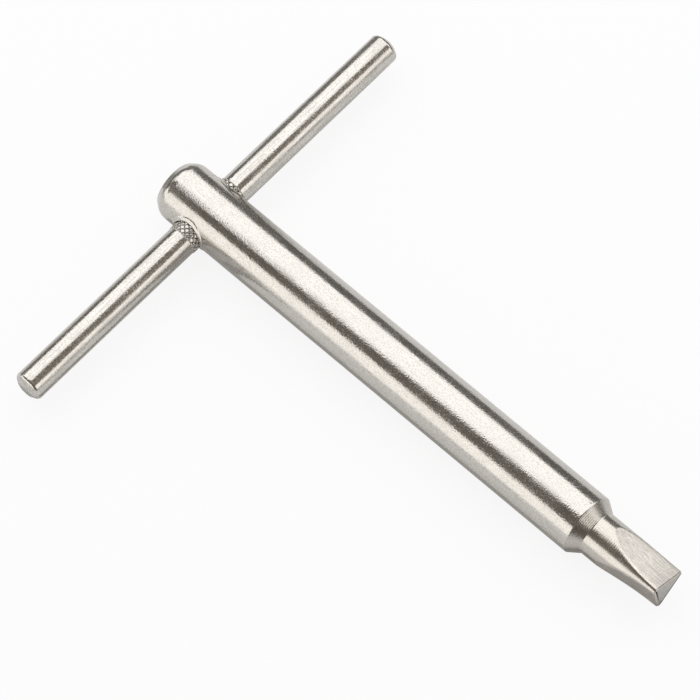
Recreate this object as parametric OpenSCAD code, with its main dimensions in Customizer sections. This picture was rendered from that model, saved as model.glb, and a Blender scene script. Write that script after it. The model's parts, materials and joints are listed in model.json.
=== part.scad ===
// Triangle wrench: a T-handled key whose round neck is milled to a three-sided drive tip.
// The origin is the centre of the tip's end face. +X points out of the tip along the shank's axis,
// the cross bar lies along Y, and +Z is up when the tool lies on a table.

/* [Shank] */
// Diameter of the shank's round body
shank_d = 10; // [9:0.5:14]
// Length of the round body, from the head to the shoulder
body_l = 84.5; // [60:0.5:120]
// How far the head's chamfer reaches in from the body's surface
head_chamfer = 1; // [0.4:0.1:1.5]
// Length of the head's chamfer along the axis
head_chamfer_l = 1.4; // [0.8:0.1:2.5]
// Radius that eases the corner between the body and the head's chamfer
head_ease = 2.5; // [0.2:0.1:3]
// Length of the cone from the body down to the neck
shoulder_l = 2; // [1.2:0.1:4]
// Radius of the fillet where the cone meets the neck
shoulder_fillet = 0.4; // [0.2:0.1:0.8]

/* [Drive tip] */
// Diameter of the neck, which is also the circle through the triangle's corners
neck_d = 7.3; // [6:0.1:7.8]
// Length of the neck, from the cone to the end face
neck_l = 13.5; // [12:0.1:20]
// Distance from the axis to each of the three flats
flat_apothem = 2.2; // [1.9:0.05:2.6]
// Diameter of the disc cutter that hollows each flat and leaves its round run-out
cutter_d = 83; // [50:1:100]
// Turn of the triangle about the axis, from one flat square to the cross bar
tip_turn = 6; // [0:1:119]

/* [Cross bar] */
// Diameter of the plain bar
bar_d = 5; // [4:0.1:6]
// Length of the bar over its two ends
bar_l = 79; // [50:1:120]
// How far the chamfer around each end of the bar reaches in from its surface
bar_chamfer = 1; // [0.3:0.1:1.2]
// Length of that chamfer along the bar
bar_chamfer_l = 0.6; // [0.3:0.1:1.2]
// Radius that eases the corner between the bar's surface and its chamfer
bar_ease = 1.2; // [0.2:0.1:1.4]
// Distance from the head's end face to the bar's axis
bar_inset = 7.4; // [5:0.1:12]
// How far the bar is pressed past its middle, towards -Y
bar_shift = 0.3; // [0:0.1:2]

/* [Press fit] */
// Length of the knurled band in the middle of the bar
knurl_l = 11.5; // [6:0.5:20]
// Number of diamonds around the bar
knurl_count = 16; // [14:1:26]
// Angle of the knurl's grooves to the bar's axis
knurl_angle = 45; // [30:1:50]
// Height of the diamonds' points above the plain bar
knurl_rise = 0.12; // [0.05:0.01:0.2]
// Depth of the grooves below the plain bar
knurl_sink = 0.14; // [0.05:0.01:0.25]
// Broken edge around each mouth of the cross hole
rim_break = 0.4; // [0.1:0.05:0.5]

/* [Hidden] */
$fn = 96;
// How far a cutting shape reaches past the surface that it cuts
overcut = 0.05;
shank_r = shank_d / 2;
neck_r = neck_d / 2;
bar_r = bar_d / 2;
shoulder_x = -neck_l - shoulder_l;
head_x = shoulder_x - body_l;
bar_x = head_x + bar_inset;
// The hole is the circle through the knurl's points, so that they bear on its wall
hole_r = bar_r + knurl_rise;
knurl_root_r = bar_r - knurl_sink;
// Rows of diamonds overlap by half, so an even number of half rows fills the band
knurl_half_row = PI * bar_d / knurl_count / tan(knurl_angle) / 2;
knurl_rows = 2 * max(2, round(knurl_l / knurl_half_row / 2));
knurl_step = knurl_l / knurl_rows;
// Steps around each mouth of the hole
rim_count = 60;
steel = [0.78, 0.76, 0.73];

// Half of a turned end, as radius against distance from the end face, with a chamfer and an eased corner
module turned_end(r, l, chamfer, chamfer_l, ease) {
    slope = atan2(chamfer, chamfer_l);
    tangent = ease * tan(slope / 2);
    centre = [r - ease, chamfer_l + tangent];
    ease_start = [r - tangent * sin(slope), chamfer_l - tangent * cos(slope)];
    ease_end = [r, chamfer_l + tangent];
    polygon([[0, 0], [r - chamfer, 0], ease_start, ease_end, [r, l], [0, l]]);
    intersection() {
        translate(centre)
            circle(r = ease);
        polygon([centre, 2 * ease_start - centre, 2 * ease_end - centre]);
    }
}

// Half of the turned shank, as radius against distance behind the tip's end face
module shank_profile() {
    cone_slope = atan2(shank_r - neck_r, shoulder_l);
    tangent = shoulder_fillet * tan(cone_slope / 2);
    difference() {
        polygon([
            [0, 0],
            [neck_r, 0],
            [neck_r, neck_l - tangent],
            [neck_r + shoulder_fillet, neck_l - tangent],
            [neck_r + tangent * sin(cone_slope), neck_l + tangent * cos(cone_slope)],
            [shank_r, -shoulder_x],
            [0, -shoulder_x]
        ]);
        translate([neck_r + shoulder_fillet, neck_l - tangent])
            circle(r = shoulder_fillet);
    }
    translate([0, -head_x, 0])
        mirror([0, 1, 0])
            turned_end(shank_r, body_l, head_chamfer, head_chamfer_l, head_ease);
}

// The disc cutter for one flat that faces +Y, deepest at the end face
module flat_cut() {
    translate([0, flat_apothem + cutter_d / 2, 0])
        cylinder(d = cutter_d, h = shank_d, center = true);
}

// A point of the hole's mouth at +Y: bore is its distance from the hole's axis, body is its distance
// from the shank's axis
function mouth_point(angle, bore, body) = [
    bore * cos(angle),
    sqrt(body * body - pow(bore * sin(angle), 2)),
    bore * sin(angle)
];

// A three-sided ring along the hole's mouth, which cuts the broken edge
module rim_cut() {
    turn = 360 / rim_count;
    points = [
        for (i = [0 : rim_count - 1])
            each [
                mouth_point(i * turn, hole_r - overcut, shank_r - rim_break - overcut),
                mouth_point(i * turn, hole_r + rim_break + overcut, shank_r + overcut),
                mouth_point(i * turn, hole_r - overcut, shank_r + overcut)
            ]
    ];
    faces = [
        for (i = [0 : rim_count - 1], side = [0 : 2])
            let (here = 3 * i, next = 3 * ((i + 1) % rim_count), other = (side + 1) % 3)
                each [
                    [here + side, next + side, next + other],
                    [here + side, next + other, here + other]
                ]
    ];
    polyhedron(points = points, faces = faces);
}

// The shank: one turned blank with a cross hole near its head and three hollow-milled flats at its tip
module shank() {
    color(steel)
        difference() {
            rotate([0, -90, 0])
                rotate_extrude()
                    shank_profile();
            for (k = [0 : 2])
                rotate([tip_turn + 60 + 120 * k, 0, 0])
                    flat_cut();
            translate([bar_x, 0, 0]) {
                rotate([90, 0, 0])
                    cylinder(r = hole_r, h = shank_d + 2 * overcut, center = true);
                rim_cut();
                mirror([0, 1, 0])
                    rim_cut();
            }
        }
}

// A point on one of the rings of the knurl, with odd rings turned by half a diamond
function knurl_point(ring, place, radius) =
    let (angle = 360 / knurl_count * (place + (ring % 2) / 2))
        [radius * cos(angle), radius * sin(angle), ring * knurl_step - knurl_l / 2];

// Where a ring's groove crossing, or its diamond's point, stands in the list of points
function crossing(ring, place) = ring * knurl_count + (place + knurl_count) % knurl_count;
function peak(ring, place) = (knurl_rows + ring) * knurl_count + place;

// The band of four-sided points that crossing left-hand and right-hand grooves leave
module knurl() {
    crossings = [
        for (ring = [0 : knurl_rows], place = [0 : knurl_count - 1])
            knurl_point(ring, place, knurl_root_r)
    ];
    peaks = [
        for (ring = [1 : knurl_rows - 1], place = [0 : knurl_count - 1])
            knurl_point(ring, place + 0.5, hole_r)
    ];
    diamonds = [
        for (ring = [1 : knurl_rows - 1], place = [0 : knurl_count - 1])
            let (
                middle = peak(ring, place),
                left = crossing(ring, place),
                right = crossing(ring, place + 1),
                below = crossing(ring - 1, place + ring % 2),
                above = crossing(ring + 1, place + ring % 2)
            )
                each [
                    [middle, below, left],
                    [middle, right, below],
                    [middle, above, right],
                    [middle, left, above]
                ]
    ];
    first_edge = [
        for (place = [0 : knurl_count - 1])
            [crossing(1, place), crossing(0, place), crossing(0, place + 1)]
    ];
    last_edge = [
        for (place = [0 : knurl_count - 1])
            [crossing(knurl_rows - 1, place), crossing(knurl_rows, place + 1), crossing(knurl_rows, place)]
    ];
    first_cap = [[for (place = [0 : knurl_count - 1]) crossing(0, place)]];
    last_cap = [[for (place = [knurl_count - 1 : -1 : 0]) crossing(knurl_rows, place)]];
    polyhedron(
        points = concat(crossings, peaks),
        faces = concat(diamonds, first_edge, last_edge, first_cap, last_cap)
    );
}

// One plain end of the bar, from just inside the knurled band to its chamfered end
module bar_arm() {
    start = knurl_l / 2 - knurl_step / 4;
    translate([0, 0, bar_l / 2])
        mirror([0, 0, 1])
            rotate_extrude()
                turned_end(bar_r, bar_l / 2 - start, bar_chamfer, bar_chamfer_l, bar_ease);
}

// The cross bar, held in the shank by its knurled middle
module cross_bar() {
    color(steel)
        translate([bar_x, -bar_shift, 0])
            rotate([-90, 0, 0]) {
                bar_arm();
                mirror([0, 0, 1])
                    bar_arm();
                knurl();
            }
}

shank();
cross_bar();
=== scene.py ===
"""Studio scene of a T-handled triangle wrench: a turned shank with a three-sided tip and a pressed-in bar.

Lengths are metres in the part's own frame. The origin is the middle of the tip's end face, +X points out
of the tip along the shank's axis, the cross bar lies along Y and +Z is up.
"""

import json
import logging
import math
from collections.abc import Callable
from dataclasses import dataclass, field
from enum import Enum, IntEnum

import bmesh
import bpy
from bmesh.types import BMEdge, BMesh, BMVert
from bpy.types import Material, MeshPolygon, Node, NodeSocket, NodeTree, Object
from mathutils import Matrix, Vector


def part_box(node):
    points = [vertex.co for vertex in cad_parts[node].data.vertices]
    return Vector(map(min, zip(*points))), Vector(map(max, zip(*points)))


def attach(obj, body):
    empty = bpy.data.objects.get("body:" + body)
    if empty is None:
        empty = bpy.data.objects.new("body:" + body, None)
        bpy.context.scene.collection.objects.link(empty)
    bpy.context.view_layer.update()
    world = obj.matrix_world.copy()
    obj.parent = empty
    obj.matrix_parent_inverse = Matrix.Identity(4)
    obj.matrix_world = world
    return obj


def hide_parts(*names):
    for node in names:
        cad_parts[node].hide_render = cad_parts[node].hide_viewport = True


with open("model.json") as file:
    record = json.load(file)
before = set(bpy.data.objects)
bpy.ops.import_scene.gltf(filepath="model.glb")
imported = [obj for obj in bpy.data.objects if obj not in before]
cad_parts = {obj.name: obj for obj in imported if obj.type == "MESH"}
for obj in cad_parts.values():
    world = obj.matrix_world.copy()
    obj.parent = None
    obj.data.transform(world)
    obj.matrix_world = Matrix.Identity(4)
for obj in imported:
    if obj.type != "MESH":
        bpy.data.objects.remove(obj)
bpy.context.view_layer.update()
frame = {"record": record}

MM = 0.001
BODY = "root"

log = logging.getLogger("triangle_wrench")

Colour = tuple[float, float, float]
Triple = tuple[float, float, float]
Place = tuple[float, float]
Range = tuple[float, float]
RingPoint = tuple[Vector, Vector]


class Lay(Enum):
    """Direction of a tool's marks, as how fast they change along X, Y and Z."""

    ALONG_SHANK = (0.03, 1.0, 1.0)
    AROUND_SHANK = (1.0, 0.03, 0.03)
    ALONG_BAR = (1.0, 0.03, 1.0)
    EVEN = (1.0, 1.0, 1.0)


class ShankZone(IntEnum):
    """A stretch of the shank, as the number of its finish."""

    BODY = 0
    NECK = 1
    CONE = 2
    FLAT = 3
    END = 4


class BarZone(IntEnum):
    """A stretch of the cross bar, as the number of its finish."""

    PLAIN = 0
    KNURL = 1


class SheetUse(Enum):
    """What a sheet round the object is for: to light the set, or only to show in reflections."""

    LIGHT = "light"
    CARD = "card"


class Tint(Enum):
    """Colour of a sheet round the object."""

    WHITE = (1.0, 1.0, 1.0)
    GREY = (1.0, 0.97, 0.93)
    BROWN = (1.0, 0.90, 0.79)
    WARM = (1.0, 0.983, 0.963)


class NodeSheet:
    """A node tree with short calls to add and join nodes."""

    # Radians that a wave texture goes through in one unit, at a scale of 1
    WAVE_PHASE = 20.0
    WAVE_DISTORTION = 0.6
    # Sockets for colours on a Mix node
    MIX_BELOW = 6
    MIX_ABOVE = 7
    MIX_RESULT = 2

    def __init__(self, tree: NodeTree) -> None:
        """Start with an empty tree."""
        self.tree = tree
        tree.nodes.clear()

    def add(self, kind: str, **settings: object) -> Node:
        """Add a node.

        Args:
            kind: The node's type, without the ShaderNode prefix.
            settings: Properties of the node, and values or sources of the sockets of those names.

        Returns:
            The new node.
        """
        node = self.tree.nodes.new(f"ShaderNode{kind}")
        for key, value in settings.items():
            if isinstance(value, NodeSocket):
                self.join(value, node.inputs[key])
            elif key in node.inputs:
                node.inputs[key].default_value = value
            else:
                setattr(node, key, value)
        return node

    def join(self, source: NodeSocket, target: NodeSocket) -> None:
        """Link one socket to another."""
        self.tree.links.new(source, target)

    def surface(self, shader: NodeSocket, output: str = "OutputMaterial") -> None:
        """Send a shader to the tree's output."""
        self.add(output, Surface=shader)

    def noise(self, place: NodeSocket, size: float, detail: float) -> NodeSocket:
        """A noise pattern with spots of a size and a number of finer layers, from 0 to 1."""
        return self.add("TexNoise", Vector=place, Scale=1.0 / size, Detail=detail).outputs["Fac"]

    def feed(self, place: NodeSocket, pitch: float) -> NodeSocket:
        """The height of the even rings that a turning tool leaves along X at a pitch, from 0 to 1."""
        settings = {"Scale": math.tau / (self.WAVE_PHASE * pitch), "Distortion": self.WAVE_DISTORTION}
        return self.add("TexWave", Vector=place, bands_direction="X", **settings).outputs["Fac"]

    def stretch(self, value: NodeSocket, span: Range, to_low: float, to_high: float) -> NodeSocket:
        """Map a value from one range to another, held at both ends.

        Args:
            value: The value to map.
            span: The start and the end of its range.
            to_low: Result at the start.
            to_high: Result at the end.

        Returns:
            The mapped value.
        """
        node = self.add("MapRange", Value=value, clamp=True, interpolation_type="SMOOTHSTEP")
        for index, number in enumerate((*span, to_low, to_high), start=1):
            node.inputs[index].default_value = number
        return node.outputs["Result"]

    def tint(self, factor: NodeSocket, below: NodeSocket | Colour, above: Colour) -> NodeSocket:
        """Blend two colours by a value.

        Args:
            factor: The value, from 0 to 1.
            below: Colour at 0.
            above: Colour at 1.

        Returns:
            The blended colour.
        """
        node = self.add("Mix", data_type="RGBA", Factor=factor)
        if isinstance(below, NodeSocket):
            self.join(below, node.inputs[self.MIX_BELOW])
        else:
            node.inputs[self.MIX_BELOW].default_value = (*below, 1.0)
        node.inputs[self.MIX_ABOVE].default_value = (*above, 1.0)
        return node.outputs[self.MIX_RESULT]

    def bump(self, height: NodeSocket, depth: float, under: NodeSocket | None = None) -> NodeSocket:
        """Turn a height into a normal.

        Args:
            height: The height, from 0 to 1.
            depth: The height's full range, in metres.
            under: The normal of the layer below it.

        Returns:
            The new normal.
        """
        node = self.add("Bump", Distance=depth, Height=height)
        if under is not None:
            self.join(under, node.inputs["Normal"])
        return node.outputs["Normal"]

    def background_rays(self, lighting: float, reflected: float, seen: float) -> NodeSocket:
        """Tell the rays that show the background from those that light the set.

        Args:
            lighting: Value for the rays that light the set.
            reflected: Value for glossy and transmission rays.
            seen: Value for camera rays.

        Returns:
            The value.
        """
        path = self.add("LightPath")
        mirrored = self.add("Math", operation="MAXIMUM")
        self.join(path.outputs["Is Glossy Ray"], mirrored.inputs[0])
        self.join(path.outputs["Is Transmission Ray"], mirrored.inputs[1])
        either = self.add("Math", operation="MULTIPLY_ADD")
        self.join(path.outputs["Is Camera Ray"], either.inputs[0])
        either.inputs[1].default_value = seen - lighting
        self.join(self.stretch(mirrored.outputs["Value"], (0.0, 1.0), lighting, reflected), either.inputs[2])
        return either.outputs["Value"]


def blank_material(name: str) -> tuple[Material, NodeSheet]:
    """Make a material with an empty node tree.

    Args:
        name: The material's name.

    Returns:
        The material, and the sheet to fill its tree with.
    """
    material = bpy.data.materials.new(name)
    material.use_nodes = True
    return material, NodeSheet(material.node_tree)


@dataclass(frozen=True)
class NickelFinish:
    """Bright nickel plate over one kind of tooled steel."""

    name: str
    lay: Lay
    colour: Colour = (0.665, 0.638, 0.598)
    shade: Colour = (0.46, 0.437, 0.404)
    roughness: float = 0.15
    roughness_spread: float = 0.04
    mark_size: float = 0.10 * MM
    mark_detail: float = 3.0
    mark_span: Range = (0.36, 0.66)
    mark_depth: float = 1.0e-6
    mark_shade: float = 0.35
    peel_size: float = 0.22 * MM
    peel_detail: float = 0.5
    peel_depth: float = 14.0e-6
    grain_size: float = 0.24 * MM
    grain_detail: float = 1.0
    grain_span: Range = (0.36, 0.72)
    grain_shade: float = 0.72
    dull_span: Range = (0.25, 0.5)
    grain_roughness: float = 0.14
    cloud_size: float = 4.0 * MM
    cloud_detail: float = 3.0
    cloud_span: Range = (0.3, 0.7)
    pit_spacing: float = 4.5 * MM
    pit_size: float = 0.055
    pit_floor: float = 0.4
    pit_depth: float = 25.0e-6
    feed_pitch: float = 0.0
    feed_depth: float = 0.0

    def material(self) -> Material:
        """Make the finish's material.

        Returns:
            A material whose marks, orange peel, clouds and pits come from Object coordinates.
        """
        material, sheet = blank_material(self.name)
        place = sheet.add("TexCoord").outputs["Object"]
        turned = sheet.add("Mapping", Vector=place, Scale=self.lay.value).outputs["Vector"]
        marks = sheet.noise(turned, self.mark_size, self.mark_detail)
        peel = sheet.noise(place, self.peel_size, self.peel_detail)
        grain = sheet.noise(place, self.grain_size, self.grain_detail)
        cloud = sheet.noise(place, self.cloud_size, self.cloud_detail)
        pits = self.pits(sheet, place)
        worn = sheet.tint(sheet.stretch(marks, self.mark_span, 0.0, self.mark_shade), self.colour, self.shade)
        grains = sheet.stretch(grain, self.grain_span, 0.0, self.grain_shade)
        speckled = sheet.tint(grains, worn, self.shade)
        pitted = sheet.tint(pits, speckled, self.shade)
        low, high = self.roughness - self.roughness_spread, self.roughness + self.roughness_spread
        dulled = sheet.add("Math", operation="ADD")
        sheet.join(sheet.stretch(cloud, self.cloud_span, low, high), dulled.inputs[0])
        sheet.join(sheet.stretch(grain, self.dull_span, self.grain_roughness, 0.0), dulled.inputs[1])
        normal = sheet.bump(marks, self.mark_depth)
        normal = sheet.bump(peel, self.peel_depth, normal)
        normal = sheet.bump(pits, -self.pit_depth, normal)
        if self.feed_pitch:
            normal = sheet.bump(sheet.feed(place, self.feed_pitch), self.feed_depth, normal)
        shader = sheet.add("BsdfPrincipled", Metallic=1.0, Roughness=dulled.outputs["Value"], Normal=normal)
        sheet.join(self.with_painted_shade(sheet, place, pitted), shader.inputs["Base Color"])
        sheet.surface(shader.outputs["BSDF"])
        return material

    def with_painted_shade(self, sheet: NodeSheet, place: NodeSocket, colour: NodeSocket) -> NodeSocket:
        """The colour, with painted shade in the surface's hollows, which a plain surface hasn't."""
        return colour

    def pits(self, sheet: NodeSheet, place: NodeSocket) -> NodeSocket:
        """Add small scattered pits.

        Args:
            sheet: The material's nodes.
            place: The coordinates that the pits read.

        Returns:
            A mask that is 1 in a pit.
        """
        spots = sheet.add("TexVoronoi", Vector=place, Scale=1.0 / self.pit_spacing)
        span = (self.pit_size * self.pit_floor, self.pit_size)
        return sheet.stretch(spots.outputs["Distance"], span, 1.0, 0.0)


@dataclass(frozen=True, kw_only=True)
class KnurlFinish(NickelFinish):
    """Nickel plate on a knurl, with painted shade in its grooves, by the knurl's axis along Y and two radii.
    """

    axis_x: float
    groove_radius: float
    unshaded_radius: float
    # Painted shade: the colour that the knurl's grooves are darkened towards
    groove_painted_shade: Colour = (0.21, 0.196, 0.177)

    def with_painted_shade(self, sheet: NodeSheet, place: NodeSocket, colour: NodeSocket) -> NodeSocket:
        """Paint shade into the knurl's grooves.

        Args:
            sheet: The material's nodes.
            place: The coordinates of the surface.
            colour: The plate's colour.

        Returns:
            The colour, with painted shade below the diamonds' tops.
        """
        # Painted shade, full at the grooves' roots and gone above the plain bar's surface
        across = sheet.add("Mapping", Vector=place, Location=(-self.axis_x, 0.0, 0.0), Scale=(1.0, 0.0, 1.0))
        radius = sheet.add("VectorMath", operation="LENGTH", Vector=across.outputs["Vector"])
        groove_shade_mask = sheet.stretch(radius.outputs["Value"], (self.groove_radius, self.unshaded_radius), 1.0, 0.0)
        return sheet.tint(groove_shade_mask, colour, self.groove_painted_shade)


def paint(piece: Object, finishes: list[NickelFinish], zone: Callable[[MeshPolygon], IntEnum]) -> None:
    """Give a piece its finishes.

    Args:
        piece: The piece.
        finishes: Its finishes, in the order of its zones.
        zone: Says which zone a face is in.
    """
    for finish in finishes:
        piece.data.materials.append(finish.material())
    for face in piece.data.polygons:
        face.material_index = zone(face)


@dataclass(frozen=True)
class Station:
    """One ring of a turned surface: its place, its radius, and its normal in the plane of the two."""

    along: float
    radius: float
    normal_along: float
    normal_out: float


@dataclass(frozen=True)
class Corner:
    """One corner of a turned outline, and the radius that rounds it."""

    along: float
    radius: float
    rounding: float = 0.0


def rounded(corners: list[Corner], steps: int = 6) -> list[Station]:
    """Round the corners of a turned outline, whose outside is on the left of its direction.

    Args:
        corners: The outline's corners, of which the first and the last aren't rounded.
        steps: Steps in each rounded corner.

    Returns:
        The stations of the outline from its first corner to its last.
    """

    def heading(start: Corner, end: Corner) -> float:
        """Direction from one corner to the next."""
        return math.atan2(end.radius - start.radius, end.along - start.along)

    def station(along: float, radius: float, angle: float) -> Station:
        """A station whose normal is square to a direction."""
        return Station(along, radius, -math.sin(angle), math.cos(angle))

    first, last = corners[0], corners[-1]
    made = [station(first.along, first.radius, heading(first, corners[1]))]
    for before, corner, after in zip(corners, corners[1:], corners[2:]):
        angle = heading(before, corner)
        turn = math.remainder(heading(corner, after) - angle, math.tau)
        reach = corner.rounding * math.tan(abs(turn) / 2)
        bow = math.copysign(corner.rounding, turn)
        centre_along = corner.along - reach * math.cos(angle) - bow * math.sin(angle)
        centre_radius = corner.radius - reach * math.sin(angle) + bow * math.cos(angle)
        for step in range(steps + 1):
            at = angle + turn * step / steps
            made.append(station(centre_along + bow * math.sin(at), centre_radius - bow * math.cos(at), at))
    made.append(station(last.along, last.radius, heading(corners[-2], last)))
    return made


def evenly(start: float, end: float, steps: int) -> list[float]:
    """Split a stretch into equal steps, with both ends."""
    return [start + (end - start) * step / steps for step in range(steps + 1)]


def straight(radius: float, start: float, end: float, steps: int) -> list[Station]:
    """The stations of a plain round stretch, with both ends."""
    return [Station(at, radius, 0.0, 1.0) for at in evenly(start, end, steps)]


class RingMesh:
    """A closed mesh that grows ring by ring, and keeps the true normal of the surface at each vertex."""

    NORMALS = "true_normal"

    def __init__(self) -> None:
        """Start with nothing."""
        self.bm: BMesh = bmesh.new()
        self.true_normal = self.bm.verts.layers.float_vector.new(self.NORMALS)

    def place(self, verts: list[BMVert], ring: list[RingPoint]) -> list[BMVert]:
        """Move vertices to a ring's points.

        Args:
            verts: The vertices.
            ring: A point and a normal for each. A normal of no length is left to the mesh.

        Returns:
            The same vertices.
        """
        for vert, (point, normal) in zip(verts, ring, strict=True):
            vert.co = point
            vert[self.true_normal] = normal
        return verts

    def start(self, ring: list[RingPoint]) -> list[BMVert]:
        """Make the first ring.

        Args:
            ring: A point and a normal for each vertex.

        Returns:
            The ring's vertices, closed with a flat face.
        """
        made = bmesh.ops.create_circle(self.bm, cap_ends=False, segments=len(ring), radius=1.0)
        verts = self.place(made["verts"], ring)
        self.cap(verts)
        return verts

    def loop(self, verts: list[BMVert]) -> list[BMEdge]:
        """The edges of a closed ring of vertices."""
        return [self.bm.edges.get(pair) for pair in zip(verts, verts[1:] + verts[:1])]

    def pull(self, verts: list[BMVert], ring: list[RingPoint]) -> list[BMVert]:
        """Extrude a ring to new points.

        Args:
            verts: The ring's vertices in order.
            ring: A point and a normal for each new vertex.

        Returns:
            The new ring's vertices in the same order.
        """
        made = bmesh.ops.extrude_edge_only(self.bm, edges=self.loop(verts))["geom"]
        fresh = {item for item in made if isinstance(item, BMVert)}
        far = [next(e.other_vert(v) for e in v.link_edges if e.other_vert(v) in fresh) for v in verts]
        return self.place(far, ring)

    def cap(self, verts: list[BMVert]) -> None:
        """Close a ring with a flat face."""
        bmesh.ops.edgeloop_fill(self.bm, edges=self.loop(verts))

    def make(self, name: str) -> Object:
        """Turn the rings into an object.

        Args:
            name: The object's name.

        Returns:
            The object, smooth, with the true normals on it.
        """
        bmesh.ops.recalc_face_normals(self.bm, faces=self.bm.faces)
        for face in self.bm.faces:
            face.smooth = True
        mesh = bpy.data.meshes.new(name)
        self.bm.to_mesh(mesh)
        self.bm.free()
        kept = mesh.attributes[self.NORMALS]
        normals = [tuple(item.vector) for item in kept.data]
        mesh.attributes.remove(kept)
        mesh.normals_split_custom_set_from_vertices(normals)
        piece = bpy.data.objects.new(name, mesh)
        bpy.context.scene.collection.objects.link(piece)
        return piece


@dataclass(frozen=True)
class TurningAxis:
    """The axis of a turned piece and the two directions that angles around it are counted from."""

    origin: Vector
    along: Vector
    first: Vector
    second: Vector

    def out(self, angle: float) -> Vector:
        """The direction away from the axis at an angle."""
        return self.first * math.cos(angle) + self.second * math.sin(angle)

    def point(self, along: float, radius: float, angle: float) -> Vector:
        """A point by its place along the axis, its radius and its angle."""
        return self.origin + self.along * along + self.out(angle) * radius

    def ring(self, station: Station, angles: list[float]) -> list[RingPoint]:
        """The points and normals of a round ring.

        Args:
            station: The ring's place and radius.
            angles: The angle of each of its points.

        Returns:
            The ring's points.
        """
        return [
            (
                self.point(station.along, station.radius, angle),
                self.along * station.normal_along + self.out(angle) * station.normal_out,
            )
            for angle in angles
        ]


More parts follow.
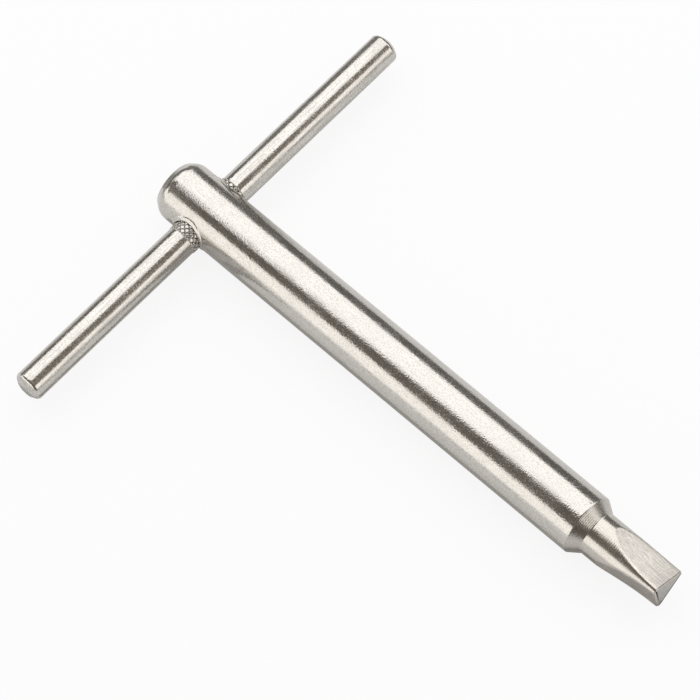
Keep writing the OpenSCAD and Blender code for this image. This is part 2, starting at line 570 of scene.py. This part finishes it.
@dataclass
class Shank:
    """The turned shank, with a cross hole near its head and three hollow-milled flats at its tip."""

    radius: float
    length: float
    bar_place: float
    hole_radius: float
    neck_radius: float = 3.65 * MM
    neck_length: float = 13.5 * MM
    shoulder_length: float = 2.0 * MM
    shoulder_fillet: float = 0.4 * MM
    shoulder_edge: float = 0.45 * MM
    head_chamfer: float = 1.0 * MM
    head_chamfer_length: float = 1.4 * MM
    head_ease: float = 2.5 * MM
    head_edge: float = 0.15 * MM
    flats: int = 3
    flat_apothem: float = 2.2 * MM
    cutter_radius: float = 41.5 * MM
    flat_edge: float = 0.4 * MM
    edge_share: float = 0.3
    tip_edge: float = 0.3 * MM
    tip_turn: float = math.radians(6)
    lip_foot: float = 0.70 * MM
    lip_shoulder: float = 0.57 * MM
    lip_step: float = 0.08 * MM
    lip_crest: float = 0.14 * MM
    lip_rise: float = 0.16 * MM
    lip_round: float = 0.10 * MM
    wall_depth: float = 1.0 * MM
    flat_steps: int = 12
    land_steps: int = 32
    edge_steps: int = 4
    tip_rows: int = 28
    body_rows: int = 16
    mouth_reach: float = 3.7 * MM
    mouth_rows: int = 18
    plain_margin: float = 1.0 * MM
    square_to_end: float = 0.99
    square_to_flat: float = math.cos(math.radians(20))
    flat_margin: float = 0.03 * MM

    def __post_init__(self) -> None:
        """Work out the axis, the flats' directions and where the flats run out."""
        self.axis = TurningAxis(Vector(), Vector((-1, 0, 0)), Vector((0, 1, 0)), Vector((0, 0, 1)))
        self.sector = math.tau / self.flats
        self.flat_angles = [self.tip_turn + self.sector * (k + 0.5) for k in range(self.flats)]
        lift = self.cutter_radius + self.flat_apothem - self.neck_radius
        self.run_out = math.sqrt(self.cutter_radius**2 - lift**2)
        count = self.flats * self.land_steps
        self.angles = [self.flat_angles[0] + math.tau * step / count for step in range(count)]

    def flat_distance(self, along: float) -> float:
        """Distance of the flats from the axis, at a distance behind the end face."""
        return self.cutter_radius + self.flat_apothem - math.sqrt(self.cutter_radius**2 - along**2)

    def tip_ring(self, along: float, inset: float, lean: float) -> list[RingPoint]:
        """One ring of the tip: three flats, and three lands on the neck's circle between them.

        Args:
            along: Distance behind the end face.
            inset: How far the ring is drawn in, at the rounded edge of the end face.
            lean: Share by which the normals lean towards the end face, from 0 to 1.

        Returns:
            The ring's points, from the first flat's near edge on.
        """
        radius = self.neck_radius - inset
        distance = min(self.flat_distance(along) - inset, radius)
        half = math.acos(distance / radius)
        width = radius * math.sin(half)
        edge = min(self.flat_edge, self.edge_share * width)
        reach = half + edge / radius
        ahead = Vector((1, 0, 0))
        tilt = math.asin(along / self.cutter_radius)
        ring: list[RingPoint] = []

        def leant(normal: Vector) -> Vector:
            """A normal turned towards the end face by the ring's lean."""
            quarter = lean * math.pi / 2
            return (normal * math.cos(quarter) + ahead * math.sin(quarter)).normalized()

        def on_flat(angle: float, across: float) -> RingPoint:
            """A point on a flat.

            Args:
                angle: The flat's direction.
                across: Distance from the flat's middle line.

            Returns:
                The point and its normal.
            """
            out, side = self.axis.out(angle), self.axis.out(angle + math.pi / 2)
            normal = out * math.cos(tilt) + ahead * math.sin(tilt)
            return ahead * -along + out * distance + side * across, leant(normal)

        def on_land(angle: float) -> RingPoint:
            """A point on a land."""
            return self.axis.point(along, radius, angle), leant(self.axis.out(angle))

        def eased(start: RingPoint, end: RingPoint, corner_angle: float) -> list[RingPoint]:
            """The points of a flat's rounded edge.

            Args:
                start: The point before it.
                end: The point after it.
                corner_angle: Direction of the sharp corner that it rounds.

            Returns:
                The points in between.
            """
            corner = self.axis.point(along, radius, corner_angle)
            return [
                (
                    start[0] * (1 - t) ** 2 + corner * (2 * t * (1 - t)) + end[0] * t**2,
                    start[1].lerp(end[1], t).normalized(),
                )
                for t in evenly(0.0, 1.0, self.edge_steps)[1:-1]
            ]

        for angle in self.flat_angles:
            next_angle = angle + self.sector
            flat = [on_flat(angle, at) for at in evenly(edge - width, width - edge, self.flat_steps)]
            land = [on_land(at) for at in evenly(angle + reach, next_angle - reach, self.land_steps)]
            ring += flat
            ring += eased(flat[-1], land[0], angle + half)
            ring += land
            ring += eased(land[-1], on_flat(next_angle, edge - width), next_angle - half)
        return ring

    def tip(self, work: RingMesh) -> list[BMVert]:
        """Build the tip from its end face to the run-out of the flats.

        Args:
            work: The mesh to build in.

        Returns:
            The round ring of vertices behind the run-out.
        """
        verts: list[BMVert] = []
        for step in range(self.edge_steps):
            angle = math.pi / 2 * step / self.edge_steps
            along, inset = self.tip_edge * (1 - math.cos(angle)), self.tip_edge * (1 - math.sin(angle))
            ring = self.tip_ring(along, inset, 1 - step / self.edge_steps)
            verts = work.pull(verts, ring) if verts else work.start(ring)
        for row in range(self.tip_rows + 1):
            share = 1 - (1 - row / self.tip_rows) ** 2
            along = self.tip_edge + (self.run_out - self.tip_edge) * share
            verts = work.pull(verts, self.tip_ring(along, 0.0, 0.0))
        return self.gather(work, verts)

    def gather(self, work: RingMesh, verts: list[BMVert]) -> list[BMVert]:
        """Weld each flat's points, which meet at its run-out, into one vertex.

        Args:
            work: The mesh.
            verts: The last ring of the tip.

        Returns:
            The round ring that is left.
        """
        share = len(verts) // self.flats
        before, after = self.edge_steps, self.flat_steps + 1 + self.edge_steps
        kept: list[BMVert] = []
        weld: dict[BMVert, BMVert] = {}
        for first in range(0, len(verts), share):
            target = verts[first]
            met = [*range(first - before, first), *range(first + 1, first + after)]
            weld |= {verts[index]: target for index in met}
            kept += [target, *verts[first + after : first + share - before]]
        bmesh.ops.weld_verts(work.bm, targetmap=weld)
        for vert, angle in zip(kept, self.angles, strict=True):
            vert[work.true_normal] = self.axis.out(angle)
        return kept

    def turned(self, work: RingMesh, verts: list[BMVert]) -> list[list[BMVert]]:
        """Build the neck, the cone, the body and the head behind the tip.

        Args:
            work: The mesh to build in.
            verts: The ring behind the flats' run-out.

        Returns:
            The rings of the stretch of the body that the cross hole goes through.
        """
        shoulder = self.neck_length + self.shoulder_length
        body_start = shoulder + self.plain_margin
        mouth_start, mouth_end = self.bar_place - self.mouth_reach, self.bar_place + self.mouth_reach
        face_radius = self.radius - self.head_chamfer
        front = rounded(
            [
                Corner(self.run_out, self.neck_radius),
                Corner(self.neck_length, self.neck_radius, self.shoulder_fillet),
                Corner(shoulder, self.radius, self.shoulder_edge),
                Corner(body_start, self.radius),
            ]
        )
        back = rounded(
            [
                Corner(mouth_end + self.plain_margin / 2, self.radius),
                Corner(self.length - self.head_chamfer_length, self.radius, self.head_ease),
                Corner(self.length, face_radius, self.head_edge),
                Corner(self.length, face_radius - 2 * self.head_edge),
            ]
        )
        plain = straight(self.radius, body_start, mouth_start, self.body_rows)
        mouth = straight(self.radius, mouth_start, mouth_end, self.mouth_rows)
        for station in front[1:] + plain[1:]:
            verts = work.pull(verts, self.axis.ring(station, self.angles))
        rows = [verts]
        for station in mouth[1:]:
            verts = work.pull(verts, self.axis.ring(station, self.angles))
            rows.append(verts)
        for station in back:
            verts = work.pull(verts, self.axis.ring(station, self.angles))
        work.cap(verts)
        return rows

    def mouth(self, work: RingMesh, rows: list[list[BMVert]], side: int) -> list[BMVert]:
        """Open one mouth of the cross hole, with the low lip that the pressed-in bar raised round it.

        Args:
            work: The mesh.
            rows: The rings that the hole goes through.
            side: 1 for the mouth at +Y and -1 for the one at -Y.

        Returns:
            The ring of vertices on the wall of the hole.
        """
        middle = 0.0 if side > 0 else math.pi
        spread = math.asin(self.mouth_reach / self.radius)
        offsets = {index: math.remainder(angle - middle, math.tau) for index, angle in enumerate(self.angles)}
        columns = sorted((i for i, offset in offsets.items() if abs(offset) < spread), key=offsets.get)
        grid = [[row[column] for column in columns] for row in rows]
        covered = {vert for row in grid for vert in row}
        patch = [face for face in work.bm.faces if all(vert in covered for vert in face.verts)]
        across = [row[-1] for row in grid[1:-1]]
        back = [row[0] for row in grid[-2:0:-1]]
        verts = grid[0] + across + grid[-1][::-1] + back
        bmesh.ops.delete(work.bm, geom=patch, context="FACES")
        foot, shoulder = self.hole_radius + self.lip_foot, self.hole_radius + self.lip_shoulder
        crest = self.hole_radius + self.lip_crest
        outline = rounded(
            [
                Corner(-foot - self.lip_round, self.radius),
                Corner(-foot, self.radius, self.lip_round),
                Corner(-shoulder, self.radius + self.lip_step, self.lip_round),
                Corner(-crest, self.radius + self.lip_rise, self.lip_round),
                Corner(-self.hole_radius, self.radius - self.lip_rise, self.lip_round / 4),
                Corner(-self.hole_radius, self.radius - self.wall_depth),
            ]
        )
        turns = [math.atan2(vert.co.z, vert.co.x + self.bar_place) for vert in verts]
        for station in outline:
            verts = work.pull(verts, [self.mouth_point(station, turn, side) for turn in turns])
        return verts

    def mouth_point(self, station: Station, turn: float, side: int) -> RingPoint:
        """A point around a mouth of the cross hole.

        Args:
            station: Minus the distance from the hole's axis, and the distance from the shank's axis.
            turn: Angle around the hole's axis.
            side: 1 for the mouth at +Y and -1 for the one at -Y.

        Returns:
            The point and its normal.
        """
        bore = -station.along
        away = Vector((math.cos(turn), 0, math.sin(turn)))
        height = bore * math.sin(turn)
        from_axis = Vector((0, side * math.sqrt(station.radius**2 - height**2), height))
        normal = from_axis.normalized() * station.normal_out - away * station.normal_along
        return Vector((bore * math.cos(turn) - self.bar_place, 0, 0)) + from_axis, normal.normalized()

    def build(self) -> Object:
        """Build the shank's mesh.

        Returns:
            The shank.
        """
        work = RingMesh()
        rows = self.turned(work, self.tip(work))
        walls = [self.mouth(work, rows, side) for side in (1, -1)]
        bmesh.ops.bridge_loops(work.bm, edges=[edge for wall in walls for edge in work.loop(wall)])
        return work.make("shank_turned")

    def dress(self, piece: Object) -> None:
        """Give each stretch of the shank the finish of the tool that cut it.

        Args:
            piece: The shank.
        """
        finishes = [
            NickelFinish("shank_turned_nickel", Lay.ALONG_SHANK),
            NickelFinish(
                "neck_turned_nickel",
                Lay.AROUND_SHANK,
                colour=(0.632, 0.597, 0.546),
                shade=(0.45, 0.42, 0.378),
                roughness=0.18,
                grain_shade=0.6,
                grain_roughness=0.08,
                mark_depth=2.0e-6,
                peel_depth=7.0e-6,
                feed_pitch=0.36 * MM,
                feed_depth=4.0e-6,
            ),
            NickelFinish(
                "shoulder_turned_nickel",
                Lay.AROUND_SHANK,
                colour=(0.60, 0.567, 0.522),
                shade=(0.42, 0.395, 0.36),
                roughness=0.25,
                grain_shade=0.5,
                grain_roughness=0.08,
                mark_depth=2.0e-6,
                feed_pitch=0.26 * MM,
                feed_depth=5.0e-6,
            ),
            NickelFinish(
                "flat_ground_nickel",
                Lay.ALONG_SHANK,
                colour=(0.84, 0.795, 0.74),
                shade=(0.52, 0.486, 0.446),
                roughness=0.36,
                mark_size=0.2 * MM,
                mark_depth=14.0e-6,
                mark_shade=0.8,
                peel_depth=10.0e-6,
                pit_spacing=1.7 * MM,
            ),
            NickelFinish(
                "end_faced_nickel",
                Lay.EVEN,
                colour=(0.55, 0.527, 0.494),
                shade=(0.38, 0.361, 0.334),
                mark_depth=2.0e-6,
                roughness=0.34,
            ),
        ]
        paint(piece, finishes, self.zone)

    def zone(self, face: MeshPolygon) -> ShankZone:
        """Say which stretch of the shank a face is on.

        Args:
            face: The face.

        Returns:
            The stretch.
        """
        centre, normal = face.center, face.normal
        along = -centre.x
        if abs(normal.x) > self.square_to_end:
            return ShankZone.END
        if along > self.neck_length + self.shoulder_length:
            return ShankZone.BODY
        if along > self.neck_length:
            return ShankZone.CONE
        outs = [self.axis.out(angle) for angle in self.flat_angles]
        faces_out = any(normal.dot(out) > self.square_to_flat for out in outs)
        inside = centre.yz.length < self.neck_radius - self.flat_margin
        return ShankZone.FLAT if along < self.run_out and faces_out and inside else ShankZone.NECK


@dataclass
class CrossBar:
    """The round cross bar, with a diamond-knurled band where it is pressed into the shank."""

    low: float
    high: float
    place: float
    radius: float
    crest_radius: float
    root_radius: float = 2.36 * MM
    chamfer: float = 1.0 * MM
    chamfer_length: float = 0.6 * MM
    chamfer_ease: float = 0.7 * MM
    end_edge: float = 0.4 * MM
    knurl_length: float = 11.5 * MM
    knurl_shift: float = -0.2 * MM
    knurl_count: int = 16
    knurl_rows: int = 12
    knurl_steps: int = 16
    knurl_top: float = 0.45
    fade: float = 0.12 * MM
    # Reach above the plain bar at which the painted shade of the knurl's grooves ends
    unshaded_margin: float = 0.03 * MM
    end_reach: float = 3.0 * MM
    plain_rows: int = 8

    def __post_init__(self) -> None:
        """Work out the axis and the angles around it."""
        self.axis = TurningAxis(
            Vector((-self.place, 0, 0)), Vector((0, 1, 0)), Vector((1, 0, 0)), Vector((0, 0, 1))
        )
        count = self.knurl_count * self.knurl_steps
        self.angles = [math.tau * step / count for step in range(count)]
        self.middle = (self.low + self.high) / 2 + self.knurl_shift

    def knurl_radius(self, along: float, angle: float) -> float:
        """Radius of the knurl's surface.

        Args:
            along: Place along the bar.
            angle: Angle around it.

        Returns:
            The radius, from a groove's root to a diamond's round top, and the plain bar's at the band's ends.
        """
        turns = angle / math.tau * self.knurl_count
        row = (along - self.middle) / self.knurl_length * self.knurl_rows
        point = abs(math.sin(math.pi * (turns + row)) * math.sin(math.pi * (turns - row)))
        dome = 1 - (1 - min(point / self.knurl_top, 1.0)) ** 2
        cut = self.root_radius + (self.crest_radius - self.root_radius) * dome
        from_end = self.knurl_length / 2 - abs(along - self.middle)
        share = max(0.0, min(from_end / self.fade, 1.0))
        return self.radius + (cut - self.radius) * share

    def knurl_ring(self, along: float) -> list[RingPoint]:
        """One ring of the knurled band, whose normals are left to the mesh."""
        return [
            (self.axis.point(along, self.knurl_radius(along, angle), angle), Vector())
            for angle in self.angles
        ]

    def build(self) -> Object:
        """Build the bar's mesh from its -Y end to its +Y end.

        Returns:
            The bar.
        """
        work = RingMesh()
        tip = self.radius - self.chamfer
        knurl_start, knurl_end = self.middle - self.knurl_length / 2, self.middle + self.knurl_length / 2
        first = rounded(
            [
                Corner(self.low, tip - 2 * self.end_edge),
                Corner(self.low, tip, self.end_edge),
                Corner(self.low + self.chamfer_length, self.radius, self.chamfer_ease),
                Corner(self.low + self.end_reach, self.radius),
            ]
        )
        ends = self.low + self.high
        last = [Station(ends - s.along, s.radius, -s.normal_along, s.normal_out) for s in first[::-1]]
        before = straight(self.radius, first[-1].along, knurl_start, self.plain_rows)
        after = straight(self.radius, knurl_end, last[0].along, self.plain_rows)
        verts = work.start(self.axis.ring(first[0], self.angles))
        for station in first[1:] + before[1:]:
            verts = work.pull(verts, self.axis.ring(station, self.angles))
        for at in evenly(knurl_start, knurl_end, self.knurl_rows * self.knurl_steps)[1:-1]:
            verts = work.pull(verts, self.knurl_ring(at))
        for station in after[:-1] + last:
            verts = work.pull(verts, self.axis.ring(station, self.angles))
        work.cap(verts)
        return work.make("cross_bar_drawn")

    def dress(self, piece: Object) -> None:
        """Give the bar its drawn finish, with a rougher one on the knurl.

        Args:
            piece: The bar.
        """
        finishes = [
            NickelFinish(
                "bar_drawn_nickel",
                Lay.ALONG_BAR,
                colour=(0.735, 0.704, 0.66),
                shade=(0.44, 0.418, 0.386),
                roughness=0.16,
                mark_size=0.16 * MM,
                mark_depth=3.0e-6,
                mark_shade=0.7,
                peel_depth=8.0e-6,
                grain_shade=0.85,
                grain_roughness=0.18,
            ),
            KnurlFinish(
                name="knurl_nickel",
                lay=Lay.EVEN,
                roughness=0.2,
                peel_depth=4.0e-6,
                axis_x=-self.place,
                groove_radius=self.root_radius,
                unshaded_radius=self.radius + self.unshaded_margin,
            ),
        ]
        paint(piece, finishes, self.zone)

    def zone(self, face: MeshPolygon) -> BarZone:
        """Say which stretch of the bar a face is on."""
        inside = abs(face.center.y - self.middle) < self.knurl_length / 2
        return BarZone.KNURL if inside else BarZone.PLAIN


def level_rectangle(low: Place, high: Place, height: float) -> BMesh:
    """Make a level rectangle along the axes.

    Args:
        low: Its corner of least X and Y.
        high: The opposite corner.
        height: Its height.

    Returns:
        The rectangle.
    """
    work = bmesh.new()
    first, last = Vector(low), Vector(high)
    bmesh.ops.create_grid(work, x_segments=1, y_segments=1, size=0.5)
    bmesh.ops.scale(work, verts=work.verts, vec=(*(last - first), 1))
    bmesh.ops.translate(work, verts=work.verts, vec=(*((first + last) / 2), height))
    return work


@dataclass(frozen=True)
class Sheet:
    """An even sheet of light or shade near the object, which the camera doesn't see."""

    name: str
    level: float
    tint: Tint = field(default=Tint.GREY, kw_only=True)
    use: SheetUse = field(default=SheetUse.CARD, kw_only=True)

    def shape(self) -> BMesh:
        """The sheet's shape."""
        raise NotImplementedError

    def material(self) -> Material:
        """Make the sheet's material.

        Returns:
            A material that gives off the sheet's level, where 1 is white.
        """
        material, sheet = blank_material(self.name)
        glow = sheet.add("Emission", Color=(*self.tint.value, 1.0), Strength=self.level)
        sheet.surface(glow.outputs["Emission"])
        return material


@dataclass(frozen=True, kw_only=True)
class HungSheet(Sheet):
    """A level sheet hung overhead, by its edges' distances from the origin in the set's directions."""

    back: float
    front: float
    left: float
    right: float
    height: float = 0.7
    front_angle: float = math.radians(-40.5)

    def shape(self) -> BMesh:
        """Make the sheet's shape.

        Returns:
            A level rectangle, turned to the set's front.
        """
        work = level_rectangle((self.back, self.left), (self.front, self.right), self.height)
        turn = Matrix.Rotation(self.front_angle, 3, "Z")
        bmesh.ops.rotate(work, verts=work.verts, cent=(0, 0, 0), matrix=turn)
        return work


@dataclass(frozen=True, kw_only=True)
class CurvedSheet(Sheet):
    """An upright curved sheet round the object, by its edges' directions from +X and heights, in degrees."""

    start: float
    end: float
    high: float
    low: float = -0.4
    radius: float = 0.6
    steps: int = 48

    def shape(self) -> BMesh:
        """Make the sheet's shape.

        Returns:
            A stretch of a round wall.
        """
        work = bmesh.new()
        turn = Matrix.Rotation(math.radians(self.start), 4, "Z")
        heights = [self.radius * math.tan(math.radians(angle)) for angle in (self.low, self.high)]
        ends = [work.verts.new(turn @ Vector((self.radius, 0, height))) for height in heights]
        geom = [*ends, work.edges.new(ends)]
        sweep = math.radians(self.end - self.start)
        bmesh.ops.spin(work, geom=geom, cent=(0, 0, 0), axis=(0, 0, 1), steps=self.steps, angle=sweep)
        return work


@dataclass(frozen=True, kw_only=True)
class StandingSheet(Sheet):
    """An upright flat sheet close to the object, by the two ends of its foot."""

    start: Place
    end: Place
    low: float
    high: float

    def shape(self) -> BMesh:
        """Make the sheet's shape.

        Returns:
            An upright rectangle.
        """
        work = bmesh.new()
        ends = [work.verts.new((*place, self.low)) for place in (self.start, self.end)]
        made = bmesh.ops.extrude_edge_only(work, edges=[work.edges.new(ends)])["geom"]
        top = [item for item in made if isinstance(item, BMVert)]
        bmesh.ops.translate(work, verts=top, vec=(0, 0, self.high - self.low))
        return work


@dataclass(frozen=True, kw_only=True)
class LevelSheet(Sheet):
    """A level sheet along the frame's axes, by two opposite corners and its height."""

    low: Place
    high: Place
    height: float

    def shape(self) -> BMesh:
        """A level rectangle along the frame's axes."""
        return level_rectangle(self.low, self.high, self.height)


@dataclass
class Studio:
    """The white floor, the lights and cards round the object, and the camera."""

    floor_level: float
    floor_reach: float = 4.0
    floor_colour: Colour = (0.88, 0.88, 0.88)
    floor_lift: float = 0.87
    floor_glow: float = 0.1
    world_level: float = 0.6
    camera_place: Triple = (0.20637, -0.22788, 0.71167)
    camera_look: Triple = (-0.3372, 0.2842, -0.8975)
    camera_up: Triple = (-0.6012, 0.6687, 0.4376)
    camera_sensor: float = 36.0
    camera_lens: float = 273.09
    camera_near: float = 0.01
    softbox_front: float = -0.102
    ceiling_front: float = 0.66
    ceiling_split: float = -0.05
    mat_lift: float = 0.2 * MM
    # Height above the floor of the painted shadows under the object
    painted_shadow_lift: float = 0.1 * MM

    def overhead(self) -> list[Sheet]:
        """The softbox, and the cards that its light ends at.

        Returns:
            The sheets overhead.
        """
        light, white, brown = SheetUse.LIGHT, Tint.WHITE, Tint.BROWN
        edge, end, split = self.softbox_front, self.ceiling_front, self.ceiling_split
        return [
            HungSheet("softbox", 1.66, tint=white, use=light, back=-1.7, front=edge, left=-0.8, right=1.2),
            HungSheet("left_ceiling_card", 0.17, tint=brown, back=edge, front=end, left=-0.7, right=split),
            HungSheet("right_ceiling_card", 0.27, tint=brown, back=edge, front=end, left=split, right=0.7),
            LevelSheet("corner_card", 0.17, tint=brown, low=(-1.4, -0.8), high=(-0.388, -0.05), height=0.69),
        ]

    def walls(self) -> list[Sheet]:
        """The lights and cards that stand round the set.

        Returns:
            The curved sheets.
        """
        brown, warm = Tint.BROWN, Tint.WARM
        left, camera, split, right, side, far = -160, -72, -20, -14, 46, 86
        left_top, right_top, card_top, far_top = 34.4, 41, 52, 14.4
        return [
            CurvedSheet("left_light", 1.5, tint=warm, start=left, end=camera, high=left_top),
            CurvedSheet("right_light", 1.5, tint=warm, start=right, end=side, low=17, high=right_top),
            CurvedSheet("left_card", 0.185, tint=brown, start=left, end=split, low=left_top, high=card_top),
            CurvedSheet("far_corner_card", 0.2, start=162, end=172.5, low=far_top, high=23.6),
            CurvedSheet(
                "left_corner_card", 0.22, tint=brown, start=-162, end=-132, low=20.5, high=35, radius=0.59
            ),
            CurvedSheet("right_card", 0.31, tint=brown, start=split, end=48, low=right_top, high=card_top),
            CurvedSheet("right_low_card", 0.65, start=right, end=side, high=9),
            CurvedSheet("camera_card", 0.14, tint=brown, start=camera, end=right, high=36),
            CurvedSheet("side_card", 0.21, start=side, end=far, high=25),
            CurvedSheet("far_card", 0.195, start=far, end=left + 360, high=far_top),
        ]

    def mats(self) -> list[Sheet]:
        """The cards that lie on the floor, of which the dark ones just under the object are painted shadows
        that only reflections see.

        Returns:
            The level sheets, from those round the object to the painted shadows under it.
        """
        far, shadow_height = self.floor_level + self.mat_lift, self.floor_level + self.painted_shadow_lift
        back, head, neck, side = 0.078, -0.2, -0.016, -0.0086
        return [
            LevelSheet("back_mat", 0.17, low=(-0.6, back), high=(0.35, 0.6), height=far),
            LevelSheet("end_mat", 0.3, low=(-0.6, -0.25), high=(head, back), height=far),
            LevelSheet("left_end_mat", 0.42, low=(head, -0.032), high=(-0.126, 0.006), height=far),
            # Painted shadows: dark sheets just under the object, where its shadow falls, seen only in
            # reflections
            LevelSheet("shank_painted_shadow", 0.42, low=(-0.099, side), high=(neck, 0.0), height=shadow_height),
            LevelSheet("neck_painted_shadow", 0.33, low=(neck, -0.008), high=(0.001, 0.0), height=shadow_height),
            LevelSheet("bar_painted_shadow", 0.38, low=(-0.0884, -0.042), high=(-0.0848, side), height=shadow_height),
            LevelSheet("bar_end_painted_shadow", 0.35, low=(-0.0985, -0.0411), high=(-0.0905, -0.0402), height=shadow_height),
        ]

    def boards(self) -> list[Sheet]:
        """The cards that stand on the floor close to the object.

        Returns:
            The upright sheets.
        """
        foot, strip_foot, strip_top = self.floor_level, 0.006, 0.018
        back, left, right = 0.2, -0.15, -0.121
        near, far = (left, -0.026), (left, 0.009)
        brown, card_end = Tint.BROWN, (left, -0.006)
        return [
            StandingSheet("back_card", 0.17, start=(-0.19, back), end=(-0.05, back), low=foot, high=0.117),
            StandingSheet(
                "left_end_card", 0.33, tint=brown, start=near, end=card_end, low=strip_top, high=0.0314
            ),
            StandingSheet("left_end_strip", 0.15, start=near, end=far, low=strip_foot, high=strip_top),
            StandingSheet("left_end_board", 0.38, start=near, end=far, low=foot, high=strip_foot),
            StandingSheet(
                "right_end_card", 0.25, start=(right, 0.022), end=(right, 0.062), low=foot, high=0.019
            ),
        ]

    def show(self, name: str, work: BMesh, material: Material) -> Object:
        """Turn a bmesh into an object of the set.

        Args:
            name: The object's name.
            work: Its shape, which is freed.
            material: Its material.

        Returns:
            The object, linked to the scene.
        """
        mesh = bpy.data.meshes.new(name)
        work.to_mesh(mesh)
        work.free()
        mesh.materials.append(material)
        thing = bpy.data.objects.new(name, mesh)
        bpy.context.scene.collection.objects.link(thing)
        return thing

    def hang(self, sheet: Sheet) -> None:
        """Put one sheet in place.

        Args:
            sheet: The sheet.
        """
        thing = self.show(sheet.name, sheet.shape(), sheet.material())
        thing.visible_camera = False
        if sheet.use is SheetUse.CARD:
            thing.visible_diffuse = False
            thing.visible_shadow = False

    def floor(self) -> None:
        """Lay the white floor under the shank."""
        reach = self.floor_reach
        work = level_rectangle((-reach, -reach), (reach, reach), self.floor_level)
        material, sheet = blank_material("floor_white")
        matt = sheet.add("BsdfDiffuse", Color=(*self.floor_colour, 1.0))
        white = sheet.add("Emission", Strength=1.0)
        both = sheet.add("MixShader", Fac=sheet.background_rays(0.0, self.floor_glow, self.floor_lift))
        sheet.join(matt.outputs["BSDF"], both.inputs[1])
        sheet.join(white.outputs["Emission"], both.inputs[2])
        sheet.surface(both.outputs["Shader"])
        self.show("floor", work, material)

    def world(self) -> None:
        """Surround the set with white, which lights it only a little."""
        world = bpy.data.worlds.new("studio")
        world.use_nodes = True
        sheet = NodeSheet(world.node_tree)
        level = sheet.background_rays(self.world_level, 1.0, 1.0)
        white = sheet.add("Background", Color=(1.0, 1.0, 1.0, 1.0), Strength=level)
        sheet.surface(white.outputs["Background"], "OutputWorld")
        bpy.context.scene.world = world

    def camera(self) -> None:
        """Stand the camera at the photograph's place."""
        look, up = Vector(self.camera_look).normalized(), Vector(self.camera_up)
        right = look.cross(up).normalized()
        turn = Matrix((right, right.cross(look), -look)).transposed().to_4x4()
        data = bpy.data.cameras.new("camera")
        data.sensor_width = self.camera_sensor
        data.lens = self.camera_lens
        data.clip_start = self.camera_near
        body = bpy.data.objects.new("camera", data)
        body.matrix_world = Matrix.Translation(self.camera_place) @ turn
        bpy.context.scene.collection.objects.link(body)
        bpy.context.scene.camera = body

    def build(self) -> None:
        """Set up the floor, the world, the sheets and the camera."""
        bpy.context.scene.view_settings.view_transform = "Standard"
        self.floor()
        self.world()
        for sheet in [*self.overhead(), *self.walls(), *self.mats(), *self.boards()]:
            self.hang(sheet)
        self.camera()


def bar_mount() -> dict:
    """The record's mount on the bar's -Y arm."""
    return next(mount for mount in frame["record"]["mounts"] if mount["name"] == "bar_end_left")


def main() -> None:
    """Build the pieces and the set in order."""
    logging.basicConfig(level=logging.INFO, format="%(name)s: %(message)s")
    shank_low, shank_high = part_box("shank")
    bar_low, bar_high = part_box("cross_bar")
    mount = bar_mount()
    bar_place = -mount["pos_m"][0]
    crest_radius = bar_high.z
    shank = Shank(shank_high.z, -shank_low.x, bar_place, crest_radius)
    bar = CrossBar(bar_low.y, bar_high.y, bar_place, mount["dims"]["r_mm"] * MM, crest_radius)
    for maker, node, slot in ((shank, "shank", "shank_nickel"), (bar, "cross_bar", "bar_nickel")):
        piece = maker.build()
        maker.dress(piece)
        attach(piece, BODY)
        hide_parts(node)
        log.info("%s: %d faces", piece.name, len(piece.data.polygons))
    Studio(shank_low.z).build()
    log.info("sizes written")


if __name__ == "__main__":
    main()
